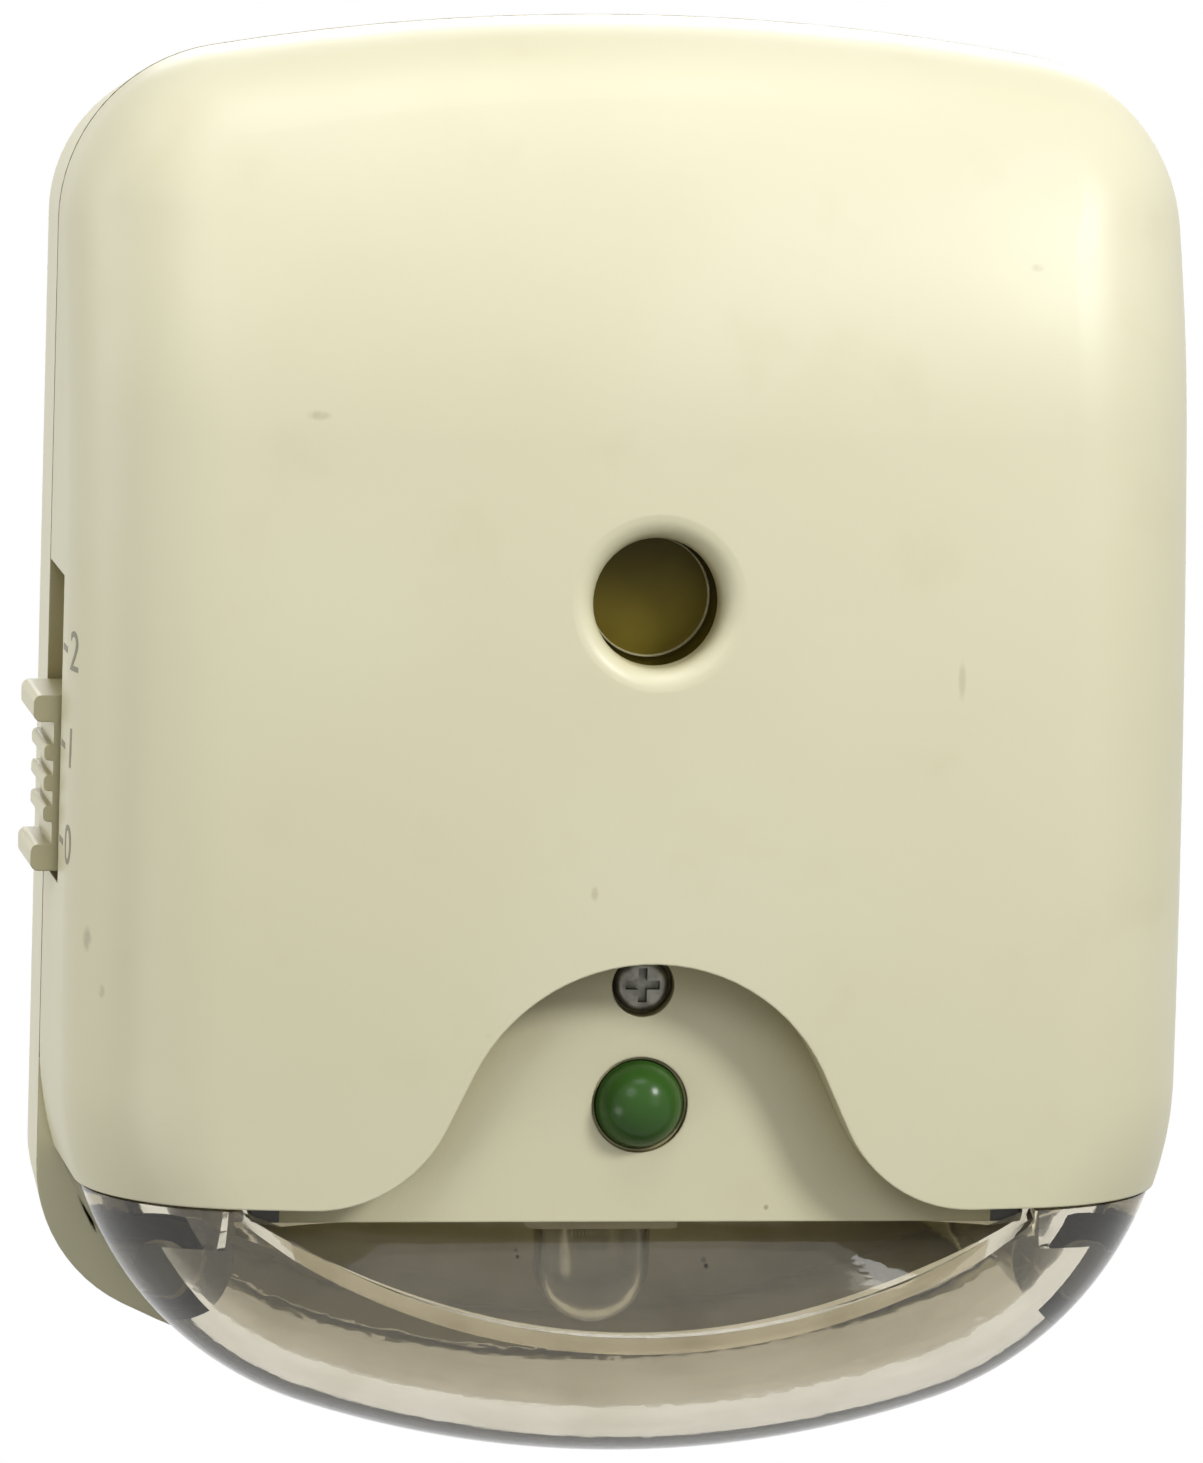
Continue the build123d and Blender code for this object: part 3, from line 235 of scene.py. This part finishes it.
def ivoryFinish():
    f = Finish("ivoryPlastic")
    cloudy = f.between(f.noise(ivory["cloudScale"]), *ivory["cloudRange"])
    colour = f.blend(cloudy * ivory["cloudShare"], paint(*ivory["main"]), paint(*ivory["pale"]))
    blotch = f.between(f.noise(ivory["blotchScale"], 4), *ivory["blotchRange"])
    colour = f.blend(blotch * ivory["blotchShare"], colour, paint(*ivory["deep"]))
    # painted shade: the colour darkens towards the corner colour where ambient occlusion finds recesses,
    # creases and corners
    opened = f.node("ShaderNodeAmbientOcclusion", {"samples": 8}, {"Distance": ivory["recessShadeReach"]}, "AO")
    ledge = (f.axis("Y") > ivory["ledgeFront"] * mm) * (f.axis("Y") < ivory["ledgeBack"] * mm)
    ledge = ledge * (f.axis("Z") < ivory["ledgeTop"] * mm)
    most = ivory["recessShadeShare"]
    shade = f.between(opened, *ivory["recessShadeRange"]) * (most - ledge * most)
    colour = f.blend(shade, colour, paint(*ivory["corner"]))
    specks = f.speckle(ivory["speckScale"], ivory["speckSize"], ivory["speckCells"])
    colour = f.blend(specks * ivory["speckShare"], colour, paint(*ivory["speck"]))
    for x, z, wide, high, strength in ivory["scuffs"]:
        worn = f.spot(x, z, wide, high) * f.between(f.noise(ivory["wornScale"]), *ivory["wornRange"])
        colour = f.blend(worn * strength, colour, paint(*ivory["scuff"]))
    # painted shade: the peg ends inside the lens are painted near black
    outward = f.node("ShaderNodeMath", {"operation": "ABSOLUTE"}, {0: f.axis("X")})
    pegShade = (outward > ivory["pegOut"] * mm) * (f.axis("Z") < ivory["pegTop"] * mm)
    pegShade = pegShade * (f.axis("Y") < ivory["pegBack"] * mm)
    colour = f.blend(pegShade, colour, paint(*ivory["pegShade"]))
    rough = ivory["rough"] + f.noise(ivory["roughScale"], 3) * ivory["roughRange"]
    grain = f.noise(ivory["grainScale"], 3)
    return f.surface(Base_Color=colour, Roughness=rough + specks * ivory["speckRough"], IOR=ivory["index"],
                     Normal=f.bump(grain, ivory["grain"], ivory["grainHeight"], ivory["edge"]))


finishes = {}
finishes["ivory_plastic"] = ivoryFinish()


clear = {
    "clear_plastic": {
        "tint": (222, 216, 198), "stain": (208, 201, 180), "rough": 0.03, "clear": 0.95, "wavy": 0.3,
    },
    "bulb_glass": {
        "tint": (206, 204, 192), "stain": (190, 187, 172), "rough": 0.02, "clear": 1.0, "wavy": 0.05,
    },
}
clearLook = {
    "index": 1.49, "hazeScale": 220, "hazeRange": (0.45, 0.75), "hazeRough": 0.04,
    "lineStretch": (0.15, 1, 1), "lineScale": 900, "lineHeight": 0.00004,       # moulding lines along X
    "marks": [
        # x, z, half width, half height, in mm, and grey
        (4.1, -46.7, 0.2, 0.22, (40, 36, 28)), (19.4, -49.4, 0.5, 0.18, (236, 232, 220)),
        (-6.5, -46.2, 0.16, 0.16, (60, 55, 44)), (12.6, -51.6, 0.35, 0.14, (230, 226, 214)),
    ],
}


def clearFinish(name):
    values = clear[name]
    f = Finish(name)
    haze = f.between(f.noise(clearLook["hazeScale"], 4), *clearLook["hazeRange"])
    colour = f.blend(haze, paint(*values["tint"]), paint(*values["stain"]))
    for x, z, wide, high, grey in clearLook["marks"]:
        colour = f.blend(f.spot(x, z, wide, high), colour, paint(*grey))
    flow = f.node("ShaderNodeVectorMath", {"operation": "MULTIPLY"},
                  {0: f.place, 1: clearLook["lineStretch"]})
    lines = f.node("ShaderNodeTexNoise", {},
                   {"Vector": flow, "Scale": clearLook["lineScale"], "Detail": 3})
    return f.surface(Base_Color=colour, Roughness=values["rough"] + haze * clearLook["hazeRough"],
                     IOR=clearLook["index"], Transmission_Weight=values["clear"],
                     Normal=f.bump(lines, values["wavy"], clearLook["lineHeight"]))


for slotName in clear:
    finishes[slotName] = clearFinish(slotName)


brass = {
    # high is the painted shade colour at the top, low the painted light colour at the bottom
    "high": (60, 52, 17), "low": (112, 99, 30), "stain": (80, 70, 22),
    "middle": -9.3, "half": 3.4,                        # mm, the height seen through the sound hole; painted shade at the top, painted light at the bottom
    "stainScale": 300, "stainRange": (0.45, 0.75), "stainShare": 0.4,
    "rough": 0.36, "roughScale": 700, "roughRange": 0.15, "metal": 0.5, "shine": 0.2,
    "ringScale": 900, "ringWobble": 2.0, "ring": 0.05, "ringHeight": 0.00002,
}


def brassFinish():
    f = Finish("brassSheet")
    # painted light and shade: the disc goes from dark at the top to light at the bottom, as light falls
    # through the hole
    top = (brass["middle"] + brass["half"]) * mm
    foot = (brass["middle"] - brass["half"]) * mm
    colour = f.blend(f.between(f.axis("Z"), foot, top), paint(*brass["low"]), paint(*brass["high"]))
    stain = f.between(f.noise(brass["stainScale"], 4), *brass["stainRange"])
    colour = f.blend(stain * brass["stainShare"], colour, paint(*brass["stain"]))
    turned = f.node("ShaderNodeTexWave", {"wave_type": "RINGS", "rings_direction": "Y"},
                    {"Vector": f.place, "Scale": brass["ringScale"], "Distortion": brass["ringWobble"]})
    rough = brass["rough"] + f.noise(brass["roughScale"]) * brass["roughRange"]
    return f.surface(Base_Color=colour, Roughness=rough, Metallic=brass["metal"],
                     Specular_IOR_Level=brass["shine"],
                     Normal=f.bump(turned, brass["ring"], brass["ringHeight"]))


finishes["brass_sheet"] = brassFinish()

jacket = {
    "dark": (38, 39, 42), "worn": (52, 53, 56), "band": (178, 122, 66), "bandWorn": (150, 98, 50),
    "line": (206, 204, 196), "bandWide": 13.0, "lineWide": 0.8,     # mm
    "bandSoft": 0.05, "lineSoft": 0.1,                              # mm
    "wornScale": 240, "wornRange": (0.45, 0.75),
    "rough": 0.3, "wornRough": 0.15, "metal": 0.6, "shine": 0.4,
}


def jacketFinish():
    f = Finish("batteryJacket")
    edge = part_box("battery")[1][0] - jacket["bandWide"] * mm
    lineEnd = edge + jacket["lineWide"] * mm
    worn = f.between(f.noise(jacket["wornScale"], 4), *jacket["wornRange"])
    across = f.axis("X")
    band = f.between(across, edge - jacket["bandSoft"] * mm, edge + jacket["bandSoft"] * mm)
    line = band * f.between(across, lineEnd, lineEnd - jacket["lineSoft"] * mm)
    dark = f.blend(worn, paint(*jacket["dark"]), paint(*jacket["worn"]))
    copper = f.blend(worn, paint(*jacket["band"]), paint(*jacket["bandWorn"]))
    colour = f.blend(line, f.blend(band, dark, copper), paint(*jacket["line"]))
    return f.surface(Base_Color=colour, Roughness=jacket["rough"] + worn * jacket["wornRough"],
                     Metallic=band * (1 - line) * jacket["metal"], Specular_IOR_Level=jacket["shine"])


finishes["battery_jacket"] = jacketFinish()

plainLook = {"patchRange": (0.35, 0.7), "roughRange": 0.12, "bumpHeight": 0.00003}
plainSettings = {
    # main and patch colour, roughness, metal, pattern scale, bump, shine where it isn't the usual
    "green_epoxy": ((54, 92, 34), (44, 76, 27), 0.16, 0.0, 200, 0.02, 0.2),
    "blade_brass": ((214, 190, 130), (190, 164, 104), 0.22, 1.0, 260, 0.05),
    "piezo_ceramic": ((222, 220, 208), (206, 202, 188), 0.5, 0.0, 300, 0.05),
    "screw_steel": ((140, 138, 128), (92, 90, 82), 0.42, 0.7, 900, 0.3, 0.4),
    "tinned_wire": ((200, 200, 196), (170, 170, 166), 0.3, 1.0, 500, 0.05),
    "switch_can": ((186, 187, 184), (160, 161, 158), 0.32, 1.0, 300, 0.05),
    "dark_plastic": ((34, 34, 34), (24, 24, 25), 0.45, 0.0, 400, 0.1),
    "phenolic": ((122, 84, 52), (96, 64, 40), 0.55, 0.0, 300, 0.1),
    "white_plastic": ((232, 230, 220), (218, 214, 202), 0.45, 0.0, 300, 0.05),
    "board_laminate": ((40, 92, 56), (30, 74, 46), 0.4, 0.0, 260, 0.05),
    "film_epoxy": ((150, 60, 36), (126, 46, 28), 0.25, 0.0, 260, 0.05),
    "capacitor_sleeve": ((36, 42, 80), (28, 32, 64), 0.28, 0.0, 260, 0.03),
    "resistor_lacquer": ((206, 178, 132), (186, 156, 112), 0.4, 0.0, 500, 0.05),
    "lead_jacket": ((176, 40, 34), (150, 30, 26), 0.35, 0.0, 400, 0.05),
}


def plainFinish(name, main, shade, rough, metal, scale, bump, shine=0.5):
    f = Finish(name)
    patch = f.between(f.noise(scale, 4), *plainLook["patchRange"])
    colour = f.blend(patch, paint(*main), paint(*shade))
    return f.surface(Base_Color=colour, Roughness=rough + f.noise(scale * 3) * plainLook["roughRange"],
                     Metallic=metal, Specular_IOR_Level=shine,
                     Normal=f.bump(f.noise(scale * 6, 3), bump, plainLook["bumpHeight"]))


for slotName, settings in plainSettings.items():
    finishes[slotName] = plainFinish(slotName, *settings)

slotOf = {part["node"]: part["material_slot"] for part in frame["record"]["subparts"]}
for nodeName, node in nodes.items():
    node.data.materials.clear()
    node.data.materials.append(finishes[slotOf[nodeName]])
print("finishes set:", len(finishes))


# small pieces beside the CAD nodes
def onlyActive(piece):
    bpy.ops.object.select_all(action="DESELECT")
    piece.select_set(True)
    bpy.context.view_layer.objects.active = piece


def applied(piece, kind, **settings):
    onlyActive(piece)
    modifier = piece.modifiers.new(kind.lower(), kind)
    for key, value in settings.items():
        setattr(modifier, key, value)
    bpy.ops.object.modifier_apply(modifier=modifier.name)


def settled(piece):
    onlyActive(piece)
    bpy.ops.object.transform_apply(location=True, rotation=True, scale=True)


def joined(pieces, name):
    onlyActive(pieces[0])
    for piece in pieces:
        piece.select_set(True)
    bpy.ops.object.join()
    pieces[0].name = name
    return pieces[0]


def placed(piece, body, finish):
    piece.data.materials.clear()
    piece.data.materials.append(finish)
    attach(piece, body)


marks = {
    "rows": [("2", -13.4), ("1", -18.8), ("0", -24.2)],             # numeral and height, mm
    "dashStart": -25.3, "dashLength": 1.6, "dashHeight": 0.35,
    "start": -27.6, "size": 3.2, "outside": -32.2, "thick": 0.02,
    "curveSteps": 6, "cuts": 2,
    "grey": (141, 136, 115), "pale": (158, 153, 132),
    "wornScale": 1500, "wornRange": (0.5, 0.75), "rough": 0.5, "wornRough": 0.2,
}


def addMarks():
    bpy.ops.object.select_all(action="DESELECT")
    facing = Matrix(((0, 0, -1), (-1, 0, 0), (0, 1, 0))).to_4x4()   # read from the left side
    pieces = []
    for text, z in marks["rows"]:
        bpy.ops.object.text_add()
        letter = bpy.context.object
        letter.data.body = text
        letter.data.size = marks["size"] * mm
        letter.data.align_y = "CENTER"
        letter.data.resolution_u = marks["curveSteps"]
        bpy.ops.object.convert(target="MESH")
        place = Vector((marks["outside"], marks["start"], z)) * mm
        letter.matrix_world = Matrix.Translation(place) @ facing
        settled(letter)
        bpy.ops.mesh.primitive_plane_add(size=1)
        dash = bpy.context.object
        dash.scale = (marks["dashLength"] * mm, marks["dashHeight"] * mm, 1)
        settled(dash)
        middle = marks["dashStart"] - marks["dashLength"] / 2
        dash.matrix_world = Matrix.Translation(Vector((marks["outside"], middle, z)) * mm) @ facing
        settled(dash)
        pieces += [letter, dash]
    sheet = joined(pieces, "switchMarks")
    bpy.ops.object.mode_set(mode="EDIT")
    bpy.ops.mesh.select_all(action="SELECT")
    bpy.ops.mesh.quads_convert_to_tris()
    bpy.ops.mesh.subdivide(number_cuts=marks["cuts"])
    bpy.ops.object.mode_set(mode="OBJECT")
    applied(sheet, "SHRINKWRAP", target=nodes["front_cover"], wrap_method="PROJECT", use_project_x=True,
            use_positive_direction=True, use_negative_direction=False)
    applied(sheet, "SOLIDIFY", thickness=marks["thick"] * mm, offset=1)
    f = Finish("printGrey")
    worn = f.between(f.noise(marks["wornScale"], 4), *marks["wornRange"])
    colour = f.blend(worn, paint(*marks["grey"]), paint(*marks["pale"]))
    printed = f.surface(Base_Color=colour, Roughness=marks["rough"] + worn * marks["wornRough"])
    placed(sheet, "housing", printed)


addMarks()

coil = {"turns": 9, "radius": 0.24, "wire": 0.05, "steps": 14, "sides": 8}      # mm


def addFilament():
    low, high = (Vector(corner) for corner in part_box("lamp_filament"))
    middle = (low + high) / 2
    bpy.ops.object.select_all(action="DESELECT")
    bpy.ops.mesh.primitive_circle_add(vertices=coil["sides"], radius=coil["wire"] * mm,
                                      location=(0, 0, coil["radius"] * mm))
    ring = bpy.context.object
    ring.name = "filamentCoil"
    settled(ring)
    applied(ring, "SCREW", axis="X", iterations=coil["turns"], steps=coil["steps"],
            screw_offset=(high.x - low.x - 4 * coil["wire"] * mm) / coil["turns"])
    bpy.ops.object.mode_set(mode="EDIT")
    bpy.ops.mesh.select_all(action="SELECT")
    bpy.ops.mesh.normals_make_consistent(inside=False)
    bpy.ops.object.mode_set(mode="OBJECT")
    ring.location = (low.x + 2 * coil["wire"] * mm, middle.y, middle.z)
    settled(ring)
    bpy.ops.object.shade_smooth()
    placed(ring, "housing", finishes["tinned_wire"])
    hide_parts("lamp_filament")


addFilament()

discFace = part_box("piezo_disc")[0][1] / mm
rings = {
    # mm
    "ledCollar": {
        "z": -37.5, "inside": 2.52, "outside": 2.69, "front": -34.75, "back": -33.3, "soft": 0.05,
    },
    "soundSleeve": {
        "z": -9.3, "inside": 3.3, "outside": 3.42, "front": discFace - 0.4, "back": discFace - 0.03,
        "soft": 0.03,
    },
}
ringCut = {"steps": 48, "softSteps": 2, "merge": 1e-7}


def addRing(name):
    values = rings[name]
    bpy.ops.object.select_all(action="DESELECT")
    bpy.ops.mesh.primitive_plane_add(size=1)
    ring = bpy.context.object
    ring.name = name
    wide = values["outside"] - values["inside"]
    middle = (values["back"] + values["front"]) / 2
    ring.scale = (wide * mm, (values["back"] - values["front"]) * mm, 1)
    ring.location = Vector((values["inside"] + wide / 2, middle, values["z"])) * mm
    settled(ring)
    bpy.ops.object.mode_set(mode="EDIT")
    bpy.ops.mesh.select_all(action="SELECT")
    bpy.ops.mesh.bevel(offset=values["soft"] * mm, segments=ringCut["softSteps"], affect="VERTICES")
    bpy.ops.mesh.select_all(action="SELECT")
    bpy.ops.mesh.spin(steps=ringCut["steps"], angle=math.tau, axis=(0, 1, 0),
                      center=Vector((0, 0, values["z"])) * mm)
    bpy.ops.mesh.select_all(action="SELECT")
    bpy.ops.mesh.remove_doubles(threshold=ringCut["merge"])
    bpy.ops.mesh.select_mode(type="FACE")
    bpy.ops.mesh.select_all(action="DESELECT")
    bpy.ops.mesh.select_interior_faces()
    bpy.ops.mesh.delete(type="FACE")
    bpy.ops.mesh.select_all(action="SELECT")
    bpy.ops.mesh.normals_make_consistent(inside=False)
    bpy.ops.object.mode_set(mode="OBJECT")
    bpy.ops.object.shade_smooth_by_angle(angle=smoothAngle)
    placed(ring, "housing", finishes["ivory_plastic"])


for ringName in rings:
    addRing(ringName)

grip = {
    "wide": 9.0, "thick": 0.45, "high": 0.5, "pitch": 1.3, "count": 3,      # mm
    "soft": 0.16, "softSteps": 3, "y": -0.95, "z": -18.5,
}


def addGrip():
    bpy.ops.object.select_all(action="DESELECT")
    lowest = grip["z"] - (grip["count"] - 1) / 2 * grip["pitch"]
    bpy.ops.mesh.primitive_cube_add(size=1, location=Vector((0, grip["y"], lowest)) * mm)
    ribs = bpy.context.object
    ribs.name = "doorGripRibs"
    ribs.scale = Vector((grip["wide"], grip["thick"], grip["high"])) * mm
    settled(ribs)
    bpy.ops.object.mode_set(mode="EDIT")
    bpy.ops.mesh.select_all(action="SELECT")
    bpy.ops.mesh.bevel(offset=grip["soft"] * mm, segments=grip["softSteps"])
    bpy.ops.object.mode_set(mode="OBJECT")
    applied(ribs, "ARRAY", count=grip["count"], use_relative_offset=False, use_constant_offset=True,
            constant_offset_displace=(0, 0, grip["pitch"] * mm))
    bpy.ops.object.shade_smooth_by_angle(angle=smoothAngle)
    placed(ribs, "battery_door", finishes["ivory_plastic"])


addGrip()
print("small pieces added")


# floor, light and white surroundings
stage = {
    "floorDrop": 1.2, "floorSize": 12.0, "floorColour": (200, 200, 194), "ambient": 0.17,
    "lamps": [
        # name, place and size in m, watts
        ("keyRight", (0.50, -0.54, 0.46), 0.20, 4.5),
        ("keyLeft", (-0.36, -0.62, 0.48), 0.36, 1.2),
        ("softTop", (0.0, -0.22, 0.80), 0.50, 2.8),
        ("rightFill", (0.60, -0.85, 0.22), 0.50, 0.7),
        ("leftSide", (-0.75, 0.12, 0.14), 0.50, 2.0),
        ("backFill", (0.15, 0.90, 0.30), 0.50, 2.0),
        ("lowLeft", (-0.60, -0.38, -0.20), 0.24, 0.6),
    ],
}


def addStage():
    bpy.ops.mesh.primitive_plane_add(size=stage["floorSize"], location=(0, 0, -stage["floorDrop"]))
    floor = bpy.context.object
    floor.name = "floor"
    f = Finish("floorWhite")
    matte = f.node("ShaderNodeBsdfDiffuse", {}, {"Color": paint(*stage["floorColour"])})
    bright = f.node("ShaderNodeEmission", {}, {"Color": white, "Strength": 1.0})
    mixed = f.node("ShaderNodeMixShader", {}, {0: f.seenDirectly(), 1: matte, 2: bright})
    floor.data.materials.append(f.close(mixed))
    target = Vector(view["anchor"]) * mm
    for name, place, size, watts in stage["lamps"]:
        bpy.ops.object.light_add(type="AREA", location=place)
        lamp = bpy.context.object
        lamp.name = name
        lamp.data.shape = "DISK"
        lamp.data.size = size
        lamp.data.energy = watts
        lamp.rotation_euler = (target - Vector(place)).to_track_quat("-Z", "Y").to_euler()
    world = bpy.data.worlds.new("whiteRoom")
    bpy.context.scene.world = world
    f = Finish("whiteRoom", world)
    strength = f.seenDirectly() * (1 - stage["ambient"]) + stage["ambient"]
    back = f.node("ShaderNodeBackground", {}, {"Color": white, "Strength": strength})
    f.close(back, "ShaderNodeOutputWorld")


addStage()
bpy.context.scene.view_settings.view_transform = "Standard"
print("stage set")
